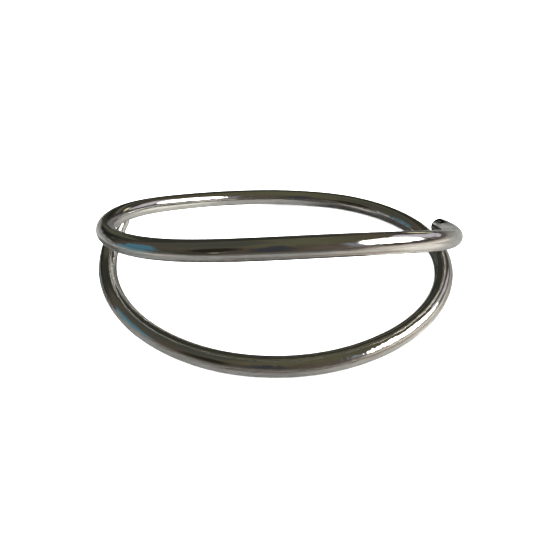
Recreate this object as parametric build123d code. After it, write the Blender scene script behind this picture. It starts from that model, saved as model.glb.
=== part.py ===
from build123d import *

import os
from math import cos, radians, sin, sqrt
from typing import NamedTuple

# A wrap bangle: one round wire bent a little over one and a half times round an oval, with two free rounded ends.
# X runs across the wrist, Y from the front to the back and Z up, in millimetres.
# The lower coil lies flat on Z = 0. The wire leaves it at the back, climbs round the left, crosses the front
# well above the lower coil and comes down at the right, where its end stops just clear of the lower coil.

# Driving sizes
WIRE_DIAMETER = 3.2
INNER_WIDTH = 57.4
INNER_DEPTH = 48.3
# Clear height between the two coils at the front
FRONT_GAP = 15.5
# Clear height between the upper end and the lower coil under it
END_CLEARANCE = 0.4


class Station(NamedTuple):
    """A place that the wire's centre line passes through."""

    turn: float  # degrees round the oval: 0 is the right, 90 the front, 180 the left and 270 the back
    reach: float  # share of the oval's own reach at that turn
    outset: float  # wire diameters beyond that
    lift: float  # share of the height that just clears a coil underneath
    rise: float  # share of the remaining height up to the front of the upper coil


STATIONS = [
    # The upper coil, from its free end at the right by the front and the left to the back
    Station(turn=0, reach=1.0, outset=0.35, lift=1.0, rise=0.0),
    Station(turn=30, reach=0.99, outset=0.0, lift=1.0, rise=0.41),
    Station(turn=60, reach=0.94, outset=0.0, lift=1.0, rise=0.815),
    Station(turn=90, reach=0.885, outset=0.0, lift=1.0, rise=1.0),
    Station(turn=120, reach=0.865, outset=0.0, lift=1.0, rise=0.95),
    Station(turn=150, reach=0.905, outset=0.0, lift=1.0, rise=0.775),
    Station(turn=180, reach=0.99, outset=0.0, lift=1.0, rise=0.555),
    Station(turn=210, reach=1.04, outset=0.0, lift=1.0, rise=0.295),
    Station(turn=240, reach=1.04, outset=0.0, lift=0.7, rise=0.07),
    Station(turn=270, reach=1.03, outset=0.0, lift=0.15, rise=0.015),
    # The lower coil, from the back by the right and the front to the left
    Station(turn=300, reach=1.015, outset=0.0, lift=0.0, rise=0.0),
    Station(turn=330, reach=1.01, outset=0.0, lift=0.0, rise=0.0),
    Station(turn=360, reach=1.005, outset=0.0, lift=0.0, rise=0.0),
    Station(turn=390, reach=0.99, outset=0.0, lift=0.0, rise=0.0),
    Station(turn=420, reach=1.0, outset=0.0, lift=0.0, rise=0.0),
    Station(turn=450, reach=1.01, outset=0.0, lift=0.0, rise=0.0),
    Station(turn=480, reach=0.99, outset=0.0, lift=0.0, rise=0.0),
    Station(turn=510, reach=0.975, outset=0.0, lift=0.0, rise=0.0),
    # The lower free end, which swings out and up behind the climbing stretch
    Station(turn=540, reach=1.0, outset=0.3, lift=0.0, rise=0.03),
    Station(turn=562, reach=1.0, outset=1.1, lift=0.0, rise=0.11),
    Station(turn=574, reach=1.0, outset=1.3, lift=0.0, rise=0.315),
]


def is_flat(station):
    """Whether the wire lies on the ground plane at this station."""
    return station.lift == 0 and station.rise == 0


def station_point(station):
    """The centre line's point at a station."""
    oval_x = (INNER_WIDTH + WIRE_DIAMETER) / 2 * cos(radians(station.turn))
    oval_y = -(INNER_DEPTH + WIRE_DIAMETER) / 2 * sin(radians(station.turn))
    oval_point = Vector(oval_x, oval_y, 0)
    plan = oval_point * station.reach + oval_point.normalized() * station.outset * WIRE_DIAMETER
    clearing_height = WIRE_DIAMETER + END_CLEARANCE
    remaining_height = FRONT_GAP - END_CLEARANCE
    height = station.lift * clearing_height + station.rise * remaining_height
    return plan + Vector(0, 0, WIRE_DIAMETER / 2 + height)


def mirrored_heading(start, end, heading):
    """The heading at the far end of the one arc that joins two points and has this heading at the near one."""
    chord = (end - start).normalized()
    return chord * 2 * chord.dot(heading) - heading


def station_headings(points):
    """The unit heading at each point: that of the circle through it and its two neighbours."""
    headings = []
    for before, here, after, station in zip(points, points[1:], points[2:], STATIONS[1:]):
        step_in = here - before
        step_out = after - here
        heading = step_in / step_in.length**2 + step_out / step_out.length**2
        if is_flat(station):
            heading = Vector(heading.X, heading.Y, 0)
        headings.append(heading.normalized())
    first = mirrored_heading(points[0], points[1], headings[0])
    last = mirrored_heading(points[-2], points[-1], headings[-1])
    return [first, *headings, last]


def two_arcs(start, end, heading_in, heading_out):
    """Two arcs that meet smoothly and join two points with the given headings."""
    chord = end - start
    both = heading_in + heading_out
    bend = 2 * (1 - heading_in.dot(heading_out))
    reach = (sqrt(chord.dot(both) ** 2 + bend * chord.dot(chord)) - chord.dot(both)) / bend
    meeting = (start + end + (heading_in - heading_out) * reach) / 2
    heading_there = (chord - both * reach).normalized()
    return [
        Edge.make_tangent_arc(start, heading_in, meeting),
        Edge.make_tangent_arc(meeting, heading_there, end),
    ]


def centre_line():
    """The wire's centre line, as tangent arcs through the stations."""
    points = [station_point(station) for station in STATIONS]
    headings = station_headings(points)
    arcs = []
    for start, end, heading_in, heading_out in zip(points, points[1:], headings, headings[1:]):
        arcs += two_arcs(start, end, heading_in, heading_out)
    return Wire(arcs)


def bangle_wire():
    """The round wire with its rounded ends, standing on Z = 0 with its box centred on the origin."""
    path = centre_line()
    section = Plane(origin=path @ 0, z_dir=path % 0) * Circle(WIRE_DIAMETER / 2)
    wire = sweep(section, path=path)
    for end in (path @ 0, path @ 1):
        wire += Pos(end.X, end.Y, end.Z) * Sphere(WIRE_DIAMETER / 2)
    box = wire.bounding_box()
    middle = box.center()
    return Pos(-middle.X, -middle.Y, -box.min.Z) * wire


os.makedirs("parts", exist_ok=True)
export_step(bangle_wire(), "parts/bangle_wire.step")
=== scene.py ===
"""A polished wrap bangle lying on a pale table, under a soft window light.

X runs across the wrist, Y from the front to the back and Z up, as in the CAD part. The wire, the rim, the
table and the camera are given in millimetres. The silver's marks, the room's shells, the floor and the lights
are given in metres, which is what everything is built in.
"""

from math import cos, pi, radians, sin
from typing import NamedTuple

import bpy
import numpy as np
from mathutils import Matrix, Vector


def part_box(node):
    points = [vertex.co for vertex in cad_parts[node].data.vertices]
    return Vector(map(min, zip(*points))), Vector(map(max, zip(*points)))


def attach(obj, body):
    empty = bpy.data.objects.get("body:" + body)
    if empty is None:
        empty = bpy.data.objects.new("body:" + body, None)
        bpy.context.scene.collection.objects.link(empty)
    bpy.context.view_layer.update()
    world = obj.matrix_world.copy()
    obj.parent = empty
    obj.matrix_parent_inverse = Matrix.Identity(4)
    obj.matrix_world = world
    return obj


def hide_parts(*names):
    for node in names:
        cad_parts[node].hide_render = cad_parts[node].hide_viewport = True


MM = 0.001
FULL_TURN = 360
NODE = "bangle_wire"

# The CAD part's own sizes
WIRE_RADIUS = 1.6
INNER_WIDTH = 57.4
INNER_DEPTH = 48.3
FRONT_GAP = 15.5
END_CLEARANCE = 0.4

# The centre line's reach from the bangle's middle
OVAL_REACH_X = INNER_WIDTH / 2 + WIRE_RADIUS
OVAL_REACH_Y = INNER_DEPTH / 2 + WIRE_RADIUS


class Station(NamedTuple):
    """A place that the wire's centre line passes through."""

    turn: float  # degrees round the oval: 0 is the right, 90 the front, 180 the left and 270 the back
    reach: float  # share of the oval's own reach at that turn
    outset: float  # wire diameters beyond that
    lift: float  # share of the height that just clears a coil underneath
    rise: float  # share of the remaining height up to the front of the upper coil


# The CAD part's own stations
STATIONS = [
    # The upper coil, from its free end at the right by the front and the left to the back
    Station(turn=0, reach=1.0, outset=0.35, lift=1.0, rise=0.0),
    Station(turn=30, reach=0.99, outset=0.0, lift=1.0, rise=0.41),
    Station(turn=60, reach=0.94, outset=0.0, lift=1.0, rise=0.815),
    Station(turn=90, reach=0.885, outset=0.0, lift=1.0, rise=1.0),
    Station(turn=120, reach=0.865, outset=0.0, lift=1.0, rise=0.95),
    Station(turn=150, reach=0.905, outset=0.0, lift=1.0, rise=0.775),
    Station(turn=180, reach=0.99, outset=0.0, lift=1.0, rise=0.555),
    Station(turn=210, reach=1.04, outset=0.0, lift=1.0, rise=0.295),
    Station(turn=240, reach=1.04, outset=0.0, lift=0.7, rise=0.07),
    Station(turn=270, reach=1.03, outset=0.0, lift=0.15, rise=0.015),
    # The lower coil, from the back by the right and the front to the left
    Station(turn=300, reach=1.015, outset=0.0, lift=0.0, rise=0.0),
    Station(turn=330, reach=1.01, outset=0.0, lift=0.0, rise=0.0),
    Station(turn=360, reach=1.005, outset=0.0, lift=0.0, rise=0.0),
    Station(turn=390, reach=0.99, outset=0.0, lift=0.0, rise=0.0),
    Station(turn=420, reach=1.0, outset=0.0, lift=0.0, rise=0.0),
    Station(turn=450, reach=1.01, outset=0.0, lift=0.0, rise=0.0),
    Station(turn=480, reach=0.99, outset=0.0, lift=0.0, rise=0.0),
    Station(turn=510, reach=0.975, outset=0.0, lift=0.0, rise=0.0),
    # The lower free end, which swings out and up behind the climbing stretch
    Station(turn=540, reach=1.0, outset=0.3, lift=0.0, rise=0.03),
    Station(turn=562, reach=1.0, outset=1.1, lift=0.0, rise=0.11),
    Station(turn=574, reach=1.0, outset=1.3, lift=0.0, rise=0.315),
]

# The wire as the picture shows it, a hair thicker than the CAD part's
SEEN_RADIUS = 1.64

# How finely the wire is meshed: millimetres between its rings, sides to a ring and rings to each end's dome
RING_STEP = 0.36
SIDES = 72
DOME_RINGS = 14

# The photograph's camera
CAMERA_POSITION = (-19.74, -80.71, 60.04)
CAMERA_AZIMUTH = 78.10
CAMERA_ELEVATION = -35.28
CAMERA_ROLL = -1.467
FOCAL_PIXELS = 540
IMAGE_PIXELS = 533
SENSOR_WIDTH = 36.0

# The nearest and the furthest that the camera sees, in metres
CLIP_START = 0.005
CLIP_END = 50

# The silver's colour where it has dulled and where it is clean, by the value of the tarnish's noise
TARNISH_STOPS = [
    (0.35, (0.85, 0.835, 0.79)),
    (0.6, (0.89, 0.88, 0.855)),
]
TARNISH_SIZE = 0.006
TARNISH_DETAIL = 4

# The polish: its roughness where it is best and where it is worst, over spots of this size
POLISH_ROUGHNESS = (0.03, 0.09)
POLISH_SIZE = 0.0012
POLISH_DETAIL = 5

# The low dents of work by hand: their size and depth, and the scale along the wire that draws them out
DENT_SIZE = 0.0022
DENT_DETAIL = 2
DENT_HEIGHT = 0.00017
DENT_STRETCH = 0.8

# The wire's length, and how strong the dents are at shares of it
WIRE_LENGTH = 0.287
WORKED_STOPS = [(0.69, 0.2), (0.73, 1.0), (0.78, 1.0), (0.84, 0.08)]

# The fine lines left by drawing the wire, which the scale along it makes much longer than they are wide
DRAWN_SIZE = 0.0004
DRAWN_DETAIL = 3
DRAWN_HEIGHT = 0.000008
DRAWN_STRETCH = 0.04

# The range that nearly all values of a noise texture lie in
NOISE_LOW = 0.3
NOISE_HIGH = 0.7

# The studio: half the side of its white floor, the light from everywhere, and the window's soft light
FLOOR_REACH = 6.0
FLOOR_WHITE = (0.93, 0.93, 0.93)
WORLD_LIGHT = 5.0
WINDOW_PLACE = (0.45, -0.05, 0.35)
WINDOW_SIZE = (0.5, 0.35)
WINDOW_POWER = 0.4


class Patch(NamedTuple):
    """A patch of colour: the corners of its outline, how wide its edge fades, and its colour."""

    corners: list
    fade: float
    colour: tuple


OVAL_CORNERS = 16


def oval(x, y, half_width, half_height):
    """The corners of an oval round this middle."""
    turns = np.linspace(0, 2 * pi, OVAL_CORNERS, endpoint=False)
    return [(x + half_width * cos(a), y + half_height * sin(a)) for a in turns]


class Ripple(NamedTuple):
    """Smooth noise: how far it swings, how big its bumps are, and the seed of its random values."""

    amount: float
    size: float
    seed: int


# How many random values a ripple has along each side before they repeat
RIPPLE_LATTICE = 64

# The room as the metal sees it, by azimuth and elevation in degrees, where azimuth 0 is the right and 90 the
# back. The camera stands at azimuth -104. These are its tones at each elevation, and the patches over them.
ROOM_STOPS = [
    (-90, (0.12, 0.10, 0.08)),
    (-28, (0.12, 0.10, 0.08)),
    (-12, (0.085, 0.071, 0.057)),
    (0, (0.071, 0.059, 0.046)),
    (20, (0.070, 0.058, 0.045)),
    (34, (0.076, 0.063, 0.047)),
    (48, (0.086, 0.077, 0.051)),
    (62, (0.090, 0.087, 0.054)),
    (90, (0.092, 0.091, 0.056)),
]
ROOM_PATCHES = [
    # The front
    Patch(oval(-76, 12, 16, 26), 16, (0.100, 0.082, 0.066)),
    Patch(oval(-58, -4, 20, 9), 10, (0.24, 0.18, 0.155)),
    Patch(oval(-110, 30, 13, 28), 12, (0.040, 0.041, 0.048)),
    # The left
    Patch(oval(-147, 27, 15, 20), 12, (0.020, 0.018, 0.013)),
    Patch(oval(-141, 5, 2.0, 7), 3, (0.24, 0.22, 0.16)),
    Patch(oval(-135, 9, 1.2, 8), 2, (0.14, 0.13, 0.10)),
    Patch(oval(155, 62, 55, 26), 30, (0.058, 0.060, 0.048)),
    Patch(oval(176, -8, 18, 8), 12, (0.16, 0.18, 0.175)),
    Patch(oval(-165, 6, 18, 10), 8, (0.056, 0.056, 0.043)),
    # The dark back, the blue at its left, and some paler and darker stretches
    Patch(
        [(52, -12), (56, 20), (58, 44), (76, 52), (98, 48), (122, 38),
         (146, 22), (150, -4), (120, -8), (90, -14)],
        9, (0.032, 0.033, 0.026),
    ),
    Patch(
        [(156, 25), (163, 28), (171, 24), (179, 15), (187, 8), (184, 1),
         (176, -3), (165, -3), (160, -2), (157, 5), (154, 15)],
        3, (0.066, 0.160, 0.215),
    ),
    Patch([(100, -14), (101, -4), (114, -1), (140, 0), (152, -3), (153, -14)], 4, (0.27, 0.27, 0.26)),
    Patch(
        [(95, -1), (103, -1), (112, 11), (119, 20), (126, 26), (120, 27), (108, 16), (99, 7)],
        2, (0.078, 0.082, 0.055),
    ),
    Patch([(106, 0), (128, 5), (144, 13), (140, 18), (128, 16), (115, 10)], 3, (0.015, 0.015, 0.014)),
    Patch([(132, 11), (142, 19), (144, 18), (135, 10)], 1, (0.10, 0.10, 0.09)),
    Patch([(62, 14), (76, 24), (80, 20), (70, 4), (60, 3)], 4, (0.10, 0.095, 0.075)),
    Patch(oval(83, 4, 6, 4), 3, (0.018, 0.018, 0.017)),
    # The right: a dark stretch, and over it a warm spot, a grey stretch and a small bright spot
    Patch(
        [(-8, 3), (-4, -6), (10, -11), (30, -15), (48, -20), (60, -12),
         (58, 6), (50, 20), (36, 25), (20, 20), (6, 8)],
        4, (0.034, 0.032, 0.036),
    ),
    Patch(oval(47, 8, 5, 5), 4, (0.85, 0.78, 0.52)),
    Patch(
        [(9, 40), (17, 38), (25, 34), (31, 29), (32, 21), (35, 14), (39, 8),
         (40, 3), (32, 1), (20, 3), (13, 6), (9, 12), (7, 20)],
        2, (0.50, 0.475, 0.51),
    ),
    Patch(oval(27, 8, 4, 1), 1, (0.30, 0.28, 0.33)),
    Patch(oval(3, -1, 3, 2), 1, (1.0, 0.97, 0.9)),
    # The big bright window at the front right, the wall beside it and the bars across it
    Patch([(-64, 10), (-62, 34), (-54, 46), (-46, 40), (-48, 8)], 8, (0.19, 0.20, 0.23)),
    Patch(
        [(-50, 17), (-51, 25), (-48, 33), (-42, 41), (-34, 46), (-22, 48),
         (-10, 46), (0, 43), (8, 37), (12, 32), (11, 25), (8, 20),
         (5, 16), (0, 13), (-8, 12), (-18, 13), (-28, 15), (-40, 17)],
        1.2, (3.2, 3.2, 3.1),
    ),
    Patch([(-22, 42), (-20, 41), (-30, 22), (-32, 21)], 1, (0.5, 0.5, 0.48)),
    Patch([(-45, 30), (-42, 30), (-43, 15), (-46, 15)], 1.5, (0.30, 0.30, 0.28)),
]
ROOM_AZIMUTH_RIPPLES = [Ripple(1.6, 6, 1), Ripple(0.9, 2, 2)]
ROOM_ELEVATION_RIPPLES = [Ripple(1.6, 6, 3), Ripple(0.9, 2, 4)]
ROOM_TONE_RIPPLES = [Ripple(0.12, 9, 5)]


class Shell(NamedTuple):
    """A part of the room's dome: its radius in metres, and its ranges and mesh step in degrees."""

    name: str
    radius: float
    azimuths: tuple
    elevations: tuple
    step: float


# The whole dome, and finer parts just inside it where the room has detail
SHELLS = [
    Shell("room", 4.0, (-180, 180), (-90, 90), 1.5),
    Shell("room_right", 3.9, (-72, 66), (-24, 60), 0.4),
    Shell("room_left", 3.9, (138, 192), (-24, 42), 0.75),
]

# The low things round the table's front and sides, as one upright rim, by azimuth and height
RIM_RADIUS = 75
RIM_HEIGHT = 21
RIM_AZIMUTHS = (171, 384)
RIM_TONE = (0.165, 0.150, 0.130)
RIM_PATCHES = [
    # The left
    Patch(oval(176, 4, 18, 20), 12, (0.19, 0.25, 0.25)),
    Patch(oval(181, 17, 10, 9), 8, (0.14, 0.29, 0.38)),
    # The right and the front right
    Patch(oval(8, 0, 14, 30), 12, (0.36, 0.36, 0.34)),
    Patch(oval(-33, 0, 31, 34), 24, (0.70, 0.63, 0.54)),
    Patch(oval(-38, 16, 9, 7), 6, (0.80, 0.73, 0.67)),
    Patch(oval(-28, 5, 24, 4.5), 4, (0.86, 0.80, 0.72)),
    # The front left, and the duller top of the front right
    Patch(oval(-140, 18, 14, 9), 8, (0.085, 0.08, 0.065)),
    Patch([(-58, 23), (-52, 16.5), (-20, 15), (22, 14), (26, 23)], 2.5, (0.22, 0.19, 0.18)),
]
RIM_TONE_RIPPLES = [Ripple(0.12, 5, 8)]
RIM_AZIMUTH_RIPPLES = [Ripple(2.5, 5, 9)]

# How much of its tone the rim has lost at its top
RIM_FALLOFF = 0.62


class Card(NamedTuple):
    """A plain piece of the rim's ring: its ranges of azimuth and of height, and its tone."""

    name: str
    azimuths: tuple
    heights: tuple
    tone: tuple


CARDS = [
    Card("card_right", (-13, -2), (RIM_HEIGHT, 28), (0.13, 0.12, 0.115)),
    Card("card_back", (41, 59), (0, 4), (0.002, 0.002, 0.002)),
]

# The mesh steps of the rim and the cards: degrees round the ring and millimetres up
UPRIGHT_STEP_AZIMUTH = 1.5
UPRIGHT_STEP_HEIGHT = 1.0

# The table top as the metal sees it, by the place across and along the table from the bangle's middle. Its
# tones are those that it would have if the light from everywhere were this strong.
TABLE_LIGHT = 2.35
TABLE_TONE = (0.152, 0.152, 0.146)
TABLE_TONE_RIPPLES = [Ripple(0.10, 7, 6), Ripple(0.10, 2.3, 7)]
TABLE_PATCHES = [
    # Broad light round the bangle
    Patch(oval(75, 15, 50, 40), 40, (0.23, 0.23, 0.22)),
    Patch(oval(38, -38, 34, 24), 28, (0.285, 0.27, 0.24)),
    Patch(oval(45, -33, 17, 15), 10, (0.45, 0.425, 0.38)),
    Patch(oval(-58, 48, 26, 26), 18, (0.27, 0.27, 0.265)),
    Patch(oval(-88, 10, 16, 22), 12, (0.25, 0.25, 0.25)),
    Patch(oval(-66, -26, 18, 16), 10, (0.26, 0.255, 0.24)),
    # Shade by the left limb, behind the bangle and by the right limb
    Patch([(-32, 6), (-32, 17), (-26, 18), (-22, 16), (-21, 10), (-26, 6)], 3, (0.055, 0.055, 0.050)),
    Patch(oval(-46, 5, 9, 18), 14, (0.055, 0.055, 0.052)),
    Patch(oval(-47, -5, 4, 6), 3, (0.135, 0.178, 0.165)),
    Patch(oval(28, 76, 14, 34), 12, (0.10, 0.10, 0.095)),
    Patch(oval(48, 26, 6, 12), 8, (0.13, 0.13, 0.125)),
    # Inside the bangle: the shade there, and the light that falls in at the back and at the front right
    Patch(oval(3, -2, 27, 21), 6, (0.020, 0.021, 0.018)),
    Patch(
        [(-14, 28), (-12, 13), (-6, 11), (2, 12), (7, 15), (8, 20), (2, 27), (-8, 29)],
        6, (0.20, 0.197, 0.185),
    ),
    Patch([(-21, 24), (-22, 16), (-16, 13), (-8, 11), (-6, 18), (-10, 28)], 6, (0.265, 0.26, 0.24)),
    Patch(oval(-8, 15, 6, 3), 4, (0.46, 0.45, 0.41)),
    Patch([(12, 23), (20, 22), (28, 14), (31, 6), (26, 3), (21, 12), (14, 18)], 4, (0.040, 0.040, 0.037)),
    Patch(oval(14, 12.5, 5, 2), 3, (0.22, 0.22, 0.22)),
    Patch(oval(12, 11, 1.5, 1), 1, (0.5, 0.49, 0.44)),
    Patch(oval(15, 13.5, 1.5, 1), 1, (0.5, 0.49, 0.44)),
    Patch(oval(18.5, 13, 1.2, 1), 1, (0.5, 0.49, 0.44)),
    Patch([(14, -24), (14, -14), (18, -7), (26, -7), (29, -10), (27, -16), (20, -24)], 4, (0.52, 0.51, 0.46)),
    # A bright spot of painted light behind the bangle, and the far table at the right and the back right
    Patch(oval(23, 40, 4, 11), 5, (0.56, 0.54, 0.47)),
    Patch([(84, -60), (84, -10), (86, 42), (110, 92), (256, 215), (256, -150)], 5, (0.025, 0.024, 0.026)),
    Patch(
        [(51, 31), (47, 50), (46, 120), (56, 256), (130, 256), (84, 108), (62, 52)],
        4, (0.015, 0.015, 0.013),
    ),
    Patch([(66, 64), (88, 104), (180, 250), (250, 250), (112, 106), (80, 70)], 6, (0.22, 0.20, 0.15)),
    # A painted glint far off at the right
    Patch(oval(180, -14, 55, 8), 6, (0.8, 0.78, 0.72)),
]

# The shade under the wire: how much of the tone it takes, and how far from the wire's centre line it reaches
CONTACT_SHADE = 0.5
CONTACT_REACH = 3.0

# The brown shade along the bangle's front: the share of red, green and blue that it leaves, and where it
# starts, is full, stops being full and ends, by the distance from the wire's centre line and by azimuth
FRONT_SHADE = (0.60, 0.47, 0.39)
FRONT_SHADE_DISTANCES = (4, 7, 10, 18)
FRONT_SHADE_AZIMUTHS = (-140, -120, -56, -42)

# What lies round the table: its tone, how far right of the bangle's middle the table's own middle is, how far
# from there the table ends, and over what width it fades
TABLE_END = (0.049, 0.041, 0.033)
TABLE_END_MIDDLE = 18
TABLE_END_START = 92
TABLE_END_FADE = 50

# The paler ground beyond the table at the back left
FAR_TABLE_PATCHES = [
    Patch(
        [(-62, 64), (-40, 100), (-95, 258), (-258, 258), (-258, 100), (-110, 42), (-84, 44)],
        14, (0.21, 0.21, 0.205),
    ),
]

# The table's mesh: fine near the bangle and coarser further out
TABLE_NEAR_REACH = 60
TABLE_NEAR_STEP = 1.0
TABLE_FAR_START = 64
TABLE_FAR_REACH = 256
TABLE_FAR_STEP = 6.0

# The table's sheen
TABLE_GLOSS = (0.32, 0.32, 0.31)
TABLE_ROUGHNESS = 0.5
TABLE_IOR = 2.5


def station_points():
    """The stations' points on the wire's centre line."""
    points = []
    for station in STATIONS:
        turn = radians(station.turn)
        oval_point = Vector((OVAL_REACH_X * cos(turn), -OVAL_REACH_Y * sin(turn), 0))
        plan = oval_point * station.reach + oval_point.normalized() * station.outset * 2 * WIRE_RADIUS
        clearing_height = 2 * WIRE_RADIUS + END_CLEARANCE
        remaining_height = FRONT_GAP - END_CLEARANCE
        height = station.lift * clearing_height + station.rise * remaining_height
        points.append((plan.x, plan.y, WIRE_RADIUS + height))
    return np.array(points)


def smooth_line(points, step):
    """Points about a step apart on the cubic spline through these points, with even bending at its ends."""
    along = np.concatenate([[0], np.cumsum(np.linalg.norm(np.diff(points, axis=0), axis=1))])
    spans = np.diff(along)
    count = len(points)
    system = np.eye(count)
    system[0, 1] = system[-1, -2] = -1
    right_side = np.zeros((count, 3))
    for i in range(1, count - 1):
        before, after = spans[i - 1], spans[i]
        system[i, i - 1 : i + 2] = before, 2 * (before + after), after
        slope_after = (points[i + 1] - points[i]) / after
        slope_before = (points[i] - points[i - 1]) / before
        right_side[i] = 6 * (slope_after - slope_before)
    bends = np.linalg.solve(system, right_side)
    places = np.linspace(0, along[-1], round(along[-1] / step) + 1)
    span = np.clip(np.searchsorted(along, places, side="right") - 1, 0, count - 2)
    length = spans[span][:, None]
    to_end = (along[span + 1] - places)[:, None]
    from_start = (places - along[span])[:, None]
    line = bends[span] * to_end**3 + bends[span + 1] * from_start**3
    line = line / (6 * length)
    line += (points[span] / length - bends[span] * length / 6) * to_end
    line += (points[span + 1] / length - bends[span + 1] * length / 6) * from_start
    return line


class Rings(NamedTuple):
    """The rings of the wire's mesh from end to end, and the two tips beyond them."""

    middles: np.ndarray
    headings: np.ndarray
    radii: np.ndarray
    tips: np.ndarray


def wire_rings(line):
    """The rings of a round wire along this line, with a half-round dome at each end."""
    headings = np.gradient(line, axis=0)
    headings /= np.linalg.norm(headings, axis=1)[:, None]
    angles = np.linspace(0, pi / 2, DOME_RINGS, endpoint=False)[1:]
    dome_radii = SEEN_RADIUS * np.cos(angles)
    beyond = SEEN_RADIUS * np.sin(angles)[:, None]
    first_dome = line[0] - headings[0] * beyond[::-1]
    last_dome = line[-1] + headings[-1] * beyond
    return Rings(
        np.concatenate([first_dome, line, last_dome]),
        np.pad(headings, ((len(angles), len(angles)), (0, 0)), mode="edge"),
        np.concatenate([dome_radii[::-1], np.full(len(line), SEEN_RADIUS), dome_radii]),
        np.array([line[0] - headings[0] * SEEN_RADIUS, line[-1] + headings[-1] * SEEN_RADIUS]),
    )


def unit_circle():
    """The corners of a ring of radius 1."""
    turns = np.linspace(0, 2 * pi, SIDES, endpoint=False)
    return np.stack([np.cos(turns), np.sin(turns)], axis=-1)


def bent_vertices(rings):
    """The wire's vertices ring by ring and then its tips, in millimetres."""
    outward = np.cross(rings.headings, (0, 0, 1))
    outward /= np.linalg.norm(outward, axis=1)[:, None]
    upward = np.cross(outward, rings.headings)
    circle = unit_circle()
    spokes = circle[None, :, :1] * outward[:, None] + circle[None, :, 1:] * upward[:, None]
    corners = rings.middles[:, None] + spokes * rings.radii[:, None, None]
    return np.concatenate([corners.reshape(-1, 3), rings.tips])


def straight_vertices(rings):
    """The same vertices with the wire pulled straight along X, in millimetres."""
    path = np.concatenate([rings.tips[:1], rings.middles, rings.tips[1:]])
    along = np.cumsum(np.linalg.norm(np.diff(path, axis=0), axis=1))
    corners = np.zeros((len(rings.middles), SIDES, 3))
    corners[:, :, 0] = along[:-1, None]
    corners[:, :, 1:] = unit_circle()[None] * rings.radii[:, None, None]
    tips = [(0, 0, 0), (along[-1], 0, 0)]
    return np.concatenate([corners.reshape(-1, 3), tips])


def wire_faces(ring_count):
    """The four-sided faces between the rings, and the triangles round each tip."""
    faces = []
    for i in range(ring_count - 1):
        for k in range(SIDES):
            n = (k + 1) % SIDES
            faces.append((i * SIDES + k, i * SIDES + n, (i + 1) * SIDES + n, (i + 1) * SIDES + k))
    first_tip = ring_count * SIDES
    last_ring = (ring_count - 1) * SIDES
    for k in range(SIDES):
        n = (k + 1) % SIDES
        faces.append((first_tip, n, k))
        faces.append((first_tip + 1, last_ring + k, last_ring + n))
    return faces


def mesh_object(name, vertices, faces):
    """A smooth-shaded mesh object in the scene."""
    mesh = bpy.data.meshes.new(name)
    mesh.from_pydata([tuple(v) for v in vertices], [], faces)
    mesh.polygons.foreach_set("use_smooth", [True] * len(mesh.polygons))
    mesh.update()
    obj = bpy.data.objects.new(name, mesh)
    bpy.context.scene.collection.objects.link(obj)
    return obj


def build_wire():
    """The whole wire as one closed mesh, set on the CAD part's own place."""
    line = smooth_line(station_points(), RING_STEP)
    line[:, 2] = np.maximum(line[:, 2], SEEN_RADIUS)
    rings = wire_rings(line)
    vertices = bent_vertices(rings) * MM
    middle = (vertices.min(0) + vertices.max(0)) / 2
    low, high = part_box(NODE)
    shift = np.array([(low.x + high.x) / 2 - middle[0], (low.y + high.y) / 2 - middle[1], low.z])
    obj = mesh_object("bangle", vertices + shift, wire_faces(len(rings.middles)))
    straight = obj.data.attributes.new("straight", "FLOAT_VECTOR", "POINT")
    straight.data.foreach_set("vector", (straight_vertices(rings) * MM).ravel())
    return obj


def new_material(name):
    """An empty material, with its nodes and links."""
    material = bpy.data.materials.new(name)
    material.use_nodes = True
    material.node_tree.nodes.clear()
    return material, material.node_tree.nodes, material.node_tree.links


def attribute_node(nodes, name):
    """A node that reads this attribute of the mesh."""
    attribute = nodes.new("ShaderNodeAttribute")
    attribute.attribute_name = name
    return attribute


def link_stretch(nodes, links, vector, stretch):
    """This vector with its X scaled, so that a stretch under 1 makes a pattern over it longer along X."""
    mapping = nodes.new("ShaderNodeMapping")
    mapping.inputs["Scale"].default_value = (stretch, 1, 1)
    links.new(vector, mapping.inputs["Vector"])
    return mapping.outputs["Vector"]


def link_noise(nodes, links, vector, size, detail):
    """A noise texture over this vector, with marks of this size in metres."""
    noise = nodes.new("ShaderNodeTexNoise")
    noise.inputs["Scale"].default_value = 1 / size
    noise.inputs["Detail"].default_value = detail
    links.new(vector, noise.inputs["Vector"])
    return noise.outputs["Fac"]


def link_range(nodes, links, value, low, high):
    """This noise spread from low to high."""
    spread = nodes.new("ShaderNodeMapRange")
    spread.inputs["From Min"].default_value = NOISE_LOW
    spread.inputs["From Max"].default_value = NOISE_HIGH
    spread.inputs["To Min"].default_value = low
    spread.inputs["To Max"].default_value = high
    links.new(value, spread.inputs["Value"])
    return spread.outputs["Result"]


def link_ramp(nodes, links, value, stops):
    """The colour of this value, through stops that each hold a position and a colour."""
    ramp = nodes.new("ShaderNodeValToRGB")
    elements = ramp.color_ramp.elements
    for position, _ in stops[1:-1]:
        elements.new(position)
    for element, (position, colour) in zip(elements, stops):
        element.position = position
        element.color = (*colour, 1)
    links.new(value, ramp.inputs["Fac"])
    return ramp.outputs["Color"]


def link_bump(nodes, links, height, distance, normal=None):
    """A bump of this height in metres, over the normal of a coarser one."""
    bump = nodes.new("ShaderNodeBump")
    bump.inputs["Distance"].default_value = distance
    links.new(height, bump.inputs["Height"])
    if normal:
        links.new(normal, bump.inputs["Normal"])
    return bump.outputs["Normal"]


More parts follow.
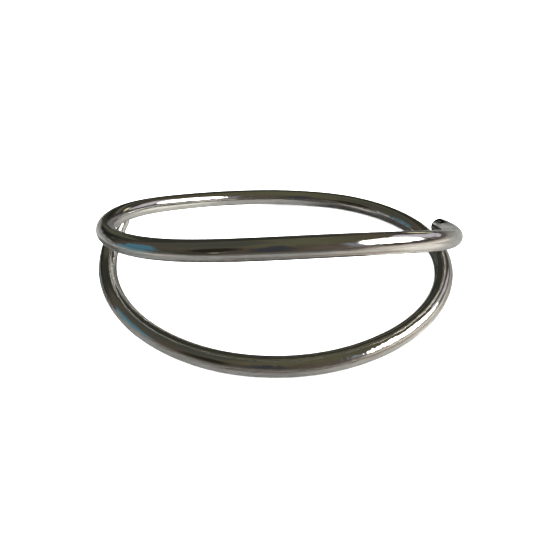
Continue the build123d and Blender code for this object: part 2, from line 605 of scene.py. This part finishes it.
def link_worked_share(nodes, links, straight):
    """How strong the dents are at each point of the wire, by its place in the straight wire."""
    along = nodes.new("ShaderNodeSeparateXYZ")
    links.new(straight, along.inputs["Vector"])
    length_share = nodes.new("ShaderNodeMath")
    length_share.operation = "DIVIDE"
    length_share.inputs[1].default_value = WIRE_LENGTH
    links.new(along.outputs["X"], length_share.inputs[0])
    stops = [(position, (strength, strength, strength)) for position, strength in WORKED_STOPS]
    return link_ramp(nodes, links, length_share.outputs["Value"], stops)


def silver_material():
    """Polished silver: low dents, faint lines drawn along the wire, uneven polish and a breath of tarnish."""
    material, nodes, links = new_material("polished_silver")
    out = nodes.new("ShaderNodeOutputMaterial")
    shader = nodes.new("ShaderNodeBsdfPrincipled")
    shader.inputs["Metallic"].default_value = 1.0
    place = nodes.new("ShaderNodeTexCoord").outputs["Object"]
    straight = attribute_node(nodes, "straight").outputs["Vector"]

    tarnish = link_noise(nodes, links, place, TARNISH_SIZE, TARNISH_DETAIL)
    links.new(link_ramp(nodes, links, tarnish, TARNISH_STOPS), shader.inputs["Base Color"])

    polish = link_noise(nodes, links, place, POLISH_SIZE, POLISH_DETAIL)
    links.new(link_range(nodes, links, polish, *POLISH_ROUGHNESS), shader.inputs["Roughness"])

    dent_place = link_stretch(nodes, links, straight, DENT_STRETCH)
    dents = link_noise(nodes, links, dent_place, DENT_SIZE, DENT_DETAIL)
    worked_dents = nodes.new("ShaderNodeMath")
    worked_dents.operation = "MULTIPLY"
    links.new(dents, worked_dents.inputs[0])
    links.new(link_worked_share(nodes, links, straight), worked_dents.inputs[1])
    normal = link_bump(nodes, links, worked_dents.outputs["Value"], DENT_HEIGHT)

    drawn_place = link_stretch(nodes, links, straight, DRAWN_STRETCH)
    drawn_lines = link_noise(nodes, links, drawn_place, DRAWN_SIZE, DRAWN_DETAIL)
    normal = link_bump(nodes, links, drawn_lines, DRAWN_HEIGHT, normal)
    links.new(normal, shader.inputs["Normal"])
    links.new(shader.outputs[0], out.inputs["Surface"])
    return material


def room_light_material():
    """A material that shines with the mesh's own tones."""
    material, nodes, links = new_material("room_light")
    out = nodes.new("ShaderNodeOutputMaterial")
    shader = nodes.new("ShaderNodeEmission")
    links.new(attribute_node(nodes, "tone").outputs["Color"], shader.inputs["Color"])
    links.new(shader.outputs[0], out.inputs["Surface"])
    material.cycles.emission_sampling = "NONE"
    return material


def floor_material():
    """The floor's plain matt white."""
    material, nodes, links = new_material("floor_white")
    out = nodes.new("ShaderNodeOutputMaterial")
    shader = nodes.new("ShaderNodeBsdfDiffuse")
    shader.inputs["Color"].default_value = (*FLOOR_WHITE, 1)
    links.new(shader.outputs[0], out.inputs["Surface"])
    return material


def table_material():
    """The table top's tones, with their painted light and shade, under a soft sheen."""
    material, nodes, links = new_material("table_top")
    out = nodes.new("ShaderNodeOutputMaterial")
    shader = nodes.new("ShaderNodeBsdfDiffuse")
    links.new(attribute_node(nodes, "tone").outputs["Color"], shader.inputs["Color"])
    gloss = nodes.new("ShaderNodeBsdfGlossy")
    gloss.inputs["Color"].default_value = (*TABLE_GLOSS, 1)
    gloss.inputs["Roughness"].default_value = TABLE_ROUGHNESS
    fresnel = nodes.new("ShaderNodeFresnel")
    fresnel.inputs["IOR"].default_value = TABLE_IOR
    mix = nodes.new("ShaderNodeMixShader")
    links.new(fresnel.outputs["Fac"], mix.inputs[0])
    links.new(shader.outputs[0], mix.inputs[1])
    links.new(gloss.outputs[0], mix.inputs[2])
    links.new(mix.outputs[0], out.inputs["Surface"])
    return material


def smoothstep(value):
    """A soft step, from 0 where the value is 0 or less to 1 where it is 1 or more."""
    value = np.clip(value, 0, 1)
    return value * value * (3 - 2 * value)


def plateau(value, start, full, full_to, end):
    """1 where the value is between full and full_to, fading to 0 at start and at end."""
    rise = smoothstep((value - start) / (full - start))
    fall = smoothstep((value - full_to) / (end - full_to))
    return rise * (1 - fall)


def ripple_sum(x, y, ripples):
    """These ripples' smooth noise, added up at each point."""
    total = np.zeros(x.shape)
    for ripple in ripples:
        lattice = np.random.default_rng(ripple.seed).uniform(-1, 1, (RIPPLE_LATTICE, RIPPLE_LATTICE))
        across, up = x / ripple.size, y / ripple.size
        i, j = np.floor(across).astype(int), np.floor(up).astype(int)
        s, t = smoothstep(across - i), smoothstep(up - j)
        sides = []
        for column in (i % RIPPLE_LATTICE, (i + 1) % RIPPLE_LATTICE):
            below, above = lattice[column, j % RIPPLE_LATTICE], lattice[column, (j + 1) % RIPPLE_LATTICE]
            sides.append(below * (1 - t) + above * t)
        total += ripple.amount * (sides[0] * (1 - s) + sides[1] * s)
    return total


def patch_share(x, y, patch):
    """How much of the patch's colour each point takes, from 0 outside it to 1 inside."""
    corners = patch.corners
    nearest = np.full(x.shape, np.inf)
    inside = np.zeros(x.shape, bool)
    for (ax, ay), (bx, by) in zip(corners, corners[1:] + corners[:1]):
        along = ((x - ax) * (bx - ax) + (y - ay) * (by - ay)) / ((bx - ax) ** 2 + (by - ay) ** 2)
        along = np.clip(along, 0, 1)
        nearest = np.minimum(nearest, np.hypot(x - ax - along * (bx - ax), y - ay - along * (by - ay)))
        if ay != by:
            inside ^= ((ay > y) != (by > y)) & (x < ax + (y - ay) * (bx - ax) / (by - ay))
    return smoothstep(0.5 + np.where(inside, nearest, -nearest) / patch.fade)


def paint(tones, x, y, patches, turn=None):
    """These tones with the patches laid over them, where x may go round in a full turn."""
    for patch in patches:
        across = x
        if turn:
            middle = sum(corner[0] for corner in patch.corners) / len(patch.corners)
            across = (x - middle + turn / 2) % turn + middle - turn / 2
        share = patch_share(across, y, patch)[:, None]
        tones = tones * (1 - share) + np.array(patch.colour) * share
    return tones


def room_tones(azimuth, elevation):
    """The light that comes from each direction."""
    x = azimuth + ripple_sum(azimuth, elevation, ROOM_AZIMUTH_RIPPLES)
    y = elevation + ripple_sum(azimuth, elevation, ROOM_ELEVATION_RIPPLES)
    stops = [stop[0] for stop in ROOM_STOPS]
    colours = np.array([stop[1] for stop in ROOM_STOPS])
    base = np.stack([np.interp(y, stops, colours[:, k]) for k in range(3)], axis=-1)
    base *= 1 + ripple_sum(azimuth, elevation, ROOM_TONE_RIPPLES)[:, None]
    return paint(base, x, y, ROOM_PATCHES, FULL_TURN)


def rim_tones(azimuth, height):
    """The rim's tones, which get darker towards its top."""
    unevenness = 1 + ripple_sum(azimuth, height, RIM_TONE_RIPPLES)
    tones = np.tile(RIM_TONE, (len(azimuth), 1)) * unevenness[:, None]
    x = azimuth + ripple_sum(azimuth, height, RIM_AZIMUTH_RIPPLES)
    tones = paint(tones, x, height, RIM_PATCHES, FULL_TURN)
    return tones * (1 - RIM_FALLOFF * height / RIM_HEIGHT)[:, None]


def table_tones(x, y):
    """The table top's tones with painted light and shade, with painted shade under the wire and along the
    bangle's front, and fading to its end.
    """
    unevenness = 1 + ripple_sum(x, y, TABLE_TONE_RIPPLES)
    tones = np.tile(TABLE_TONE, (len(x), 1)) * unevenness[:, None]
    tones = paint(tones, x, y, TABLE_PATCHES)

    line = smooth_line(station_points(), RING_STEP)
    low_points = line[line[:, 2] < 2 * WIRE_RADIUS]
    from_wire = np.min([np.hypot(x - point[0], y - point[1]) for point in low_points], axis=0)
    tones = tones * (1 - CONTACT_SHADE * (1 - smoothstep(from_wire / CONTACT_REACH)))[:, None]

    outside = np.hypot(x / OVAL_REACH_X, y / OVAL_REACH_Y) > 1
    azimuth = np.degrees(np.arctan2(y, x))
    shade = outside * plateau(from_wire, *FRONT_SHADE_DISTANCES) * plateau(azimuth, *FRONT_SHADE_AZIMUTHS)
    tones = tones * (1 - shade[:, None] * (1 - np.array(FRONT_SHADE)))

    away = np.hypot(x - TABLE_END_MIDDLE, y)
    end = smoothstep((away - TABLE_END_START) / TABLE_END_FADE)[:, None]
    tones = tones * (1 - end) + np.array(TABLE_END) * end
    return paint(tones, x, y, FAR_TABLE_PATCHES) * TABLE_LIGHT / WORLD_LIGHT


def grid_places(across, up, step_across, step_up):
    """The places of a grid over these two ranges row by row, and how many a row holds."""
    columns = round((across[1] - across[0]) / step_across) + 1
    rows = round((up[1] - up[0]) / step_up) + 1
    x, y = np.meshgrid(np.linspace(*across, columns), np.linspace(*up, rows))
    return x.ravel(), y.ravel(), columns


def build_grid(name, points, columns, tones, material):
    """A mesh over rows of points, with a tone at each, which only the metal's reflections see."""
    rows = len(points) // columns
    faces = [
        (j * columns + i, j * columns + i + 1, (j + 1) * columns + i + 1, (j + 1) * columns + i)
        for j in range(rows - 1)
        for i in range(columns - 1)
    ]
    obj = mesh_object(name, points, faces)
    tone = obj.data.attributes.new("tone", "FLOAT_COLOR", "POINT")
    tone.data.foreach_set("color", np.column_stack([tones, np.ones(len(tones))]).astype(np.float32).ravel())
    obj.data.materials.append(material)
    obj.visible_camera = False
    obj.visible_diffuse = False
    obj.visible_transmission = False
    obj.visible_volume_scatter = False
    obj.visible_shadow = False


def build_shell(shell, material):
    """A part of the room's dome."""
    azimuth, elevation, columns = grid_places(shell.azimuths, shell.elevations, shell.step, shell.step)
    turn, slope = np.radians(azimuth), np.radians(elevation)
    ways = np.column_stack([np.cos(slope) * np.cos(turn), np.cos(slope) * np.sin(turn), np.sin(slope)])
    build_grid(shell.name, ways * shell.radius, columns, room_tones(azimuth, elevation), material)


def build_upright(name, azimuths, heights, material, tone=None):
    """A low thing that stands on the ring round the bangle, in this tone or else in the rim's."""
    azimuth, height, columns = grid_places(azimuths, heights, UPRIGHT_STEP_AZIMUTH, UPRIGHT_STEP_HEIGHT)
    turn = np.radians(azimuth)
    points = np.column_stack([RIM_RADIUS * np.cos(turn), RIM_RADIUS * np.sin(turn), height]) * MM
    tones = np.tile(tone, (len(azimuth), 1)) if tone else rim_tones(azimuth, height)
    build_grid(name, points, columns, tones, material)


def build_room():
    """All that the metal reflects above the table: the room's shells, the rim and the cards."""
    material = room_light_material()
    for shell in SHELLS:
        build_shell(shell, material)
    build_upright("rim", RIM_AZIMUTHS, (0, RIM_HEIGHT), material)
    for card in CARDS:
        build_upright(card.name, card.azimuths, card.heights, material, card.tone)


def build_floor():
    """The pale floor that the camera sees, which the metal doesn't reflect."""
    reach = FLOOR_REACH
    corners = [(-reach, -reach, 0), (reach, -reach, 0), (reach, reach, 0), (-reach, reach, 0)]
    floor = mesh_object("floor", corners, [(0, 1, 2, 3)])
    floor.data.materials.append(floor_material())
    floor.visible_glossy = False
    floor.visible_shadow = False


def build_table():
    """The darker table top, with painted light and shade, that the metal reflects in the floor's place."""
    near = np.arange(-TABLE_NEAR_REACH, TABLE_NEAR_REACH + TABLE_NEAR_STEP, TABLE_NEAR_STEP)
    far = np.arange(TABLE_FAR_START, TABLE_FAR_REACH + TABLE_FAR_STEP, TABLE_FAR_STEP)
    axis = np.concatenate([-far[::-1], near, far])
    x, y = np.meshgrid(axis, axis)
    x, y = x.ravel(), y.ravel()
    points = np.column_stack([x, y, np.zeros(len(x))]) * MM
    build_grid("table", points, len(axis), table_tones(x, y), table_material())


def build_light():
    """Even white light from everywhere, and a soft light from the right. The metal reflects neither."""
    world = bpy.data.worlds.new("studio")
    bpy.context.scene.world = world
    world.use_nodes = True
    background = world.node_tree.nodes["Background"]
    background.inputs["Color"].default_value = (1, 1, 1, 1)
    background.inputs["Strength"].default_value = WORLD_LIGHT
    world.cycles_visibility.glossy = False
    data = bpy.data.lights.new("window_light", "AREA")
    data.shape = "RECTANGLE"
    data.size, data.size_y = WINDOW_SIZE
    data.energy = WINDOW_POWER
    light = bpy.data.objects.new("window_light", data)
    light.location = WINDOW_PLACE
    light.rotation_euler = (-Vector(WINDOW_PLACE)).to_track_quat("-Z", "Y").to_euler()
    light.visible_glossy = False
    light.visible_camera = False
    bpy.context.scene.collection.objects.link(light)


def build_camera():
    """The photograph's camera."""
    data = bpy.data.cameras.new("camera")
    data.sensor_width = SENSOR_WIDTH
    data.lens = SENSOR_WIDTH * FOCAL_PIXELS / IMAGE_PIXELS
    data.clip_start = CLIP_START
    data.clip_end = CLIP_END
    azimuth, elevation, roll = radians(CAMERA_AZIMUTH), radians(CAMERA_ELEVATION), radians(CAMERA_ROLL)
    look = Vector((cos(elevation) * cos(azimuth), cos(elevation) * sin(azimuth), sin(elevation)))
    level_right = look.cross(Vector((0, 0, 1))).normalized()
    level_up = level_right.cross(look)
    right = level_right * cos(roll) + level_up * sin(roll)
    up = right.cross(look)
    turn = Matrix((right, up, -look)).transposed()
    camera = bpy.data.objects.new("camera", data)
    camera.matrix_world = Matrix.Translation(Vector(CAMERA_POSITION) * MM) @ turn.to_4x4()
    bpy.context.scene.collection.objects.link(camera)
    bpy.context.scene.camera = camera


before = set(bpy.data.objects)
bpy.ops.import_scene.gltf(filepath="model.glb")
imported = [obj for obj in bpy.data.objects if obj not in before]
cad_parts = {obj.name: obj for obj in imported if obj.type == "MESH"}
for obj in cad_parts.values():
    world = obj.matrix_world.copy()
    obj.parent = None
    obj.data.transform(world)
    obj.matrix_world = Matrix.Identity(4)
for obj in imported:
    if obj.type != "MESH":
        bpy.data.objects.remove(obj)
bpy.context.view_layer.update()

wire = build_wire()
wire.data.materials.append(silver_material())
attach(wire, "root")
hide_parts(NODE)

build_room()
build_floor()
build_table()
build_light()
build_camera()
bpy.context.scene.view_settings.view_transform = "Standard"
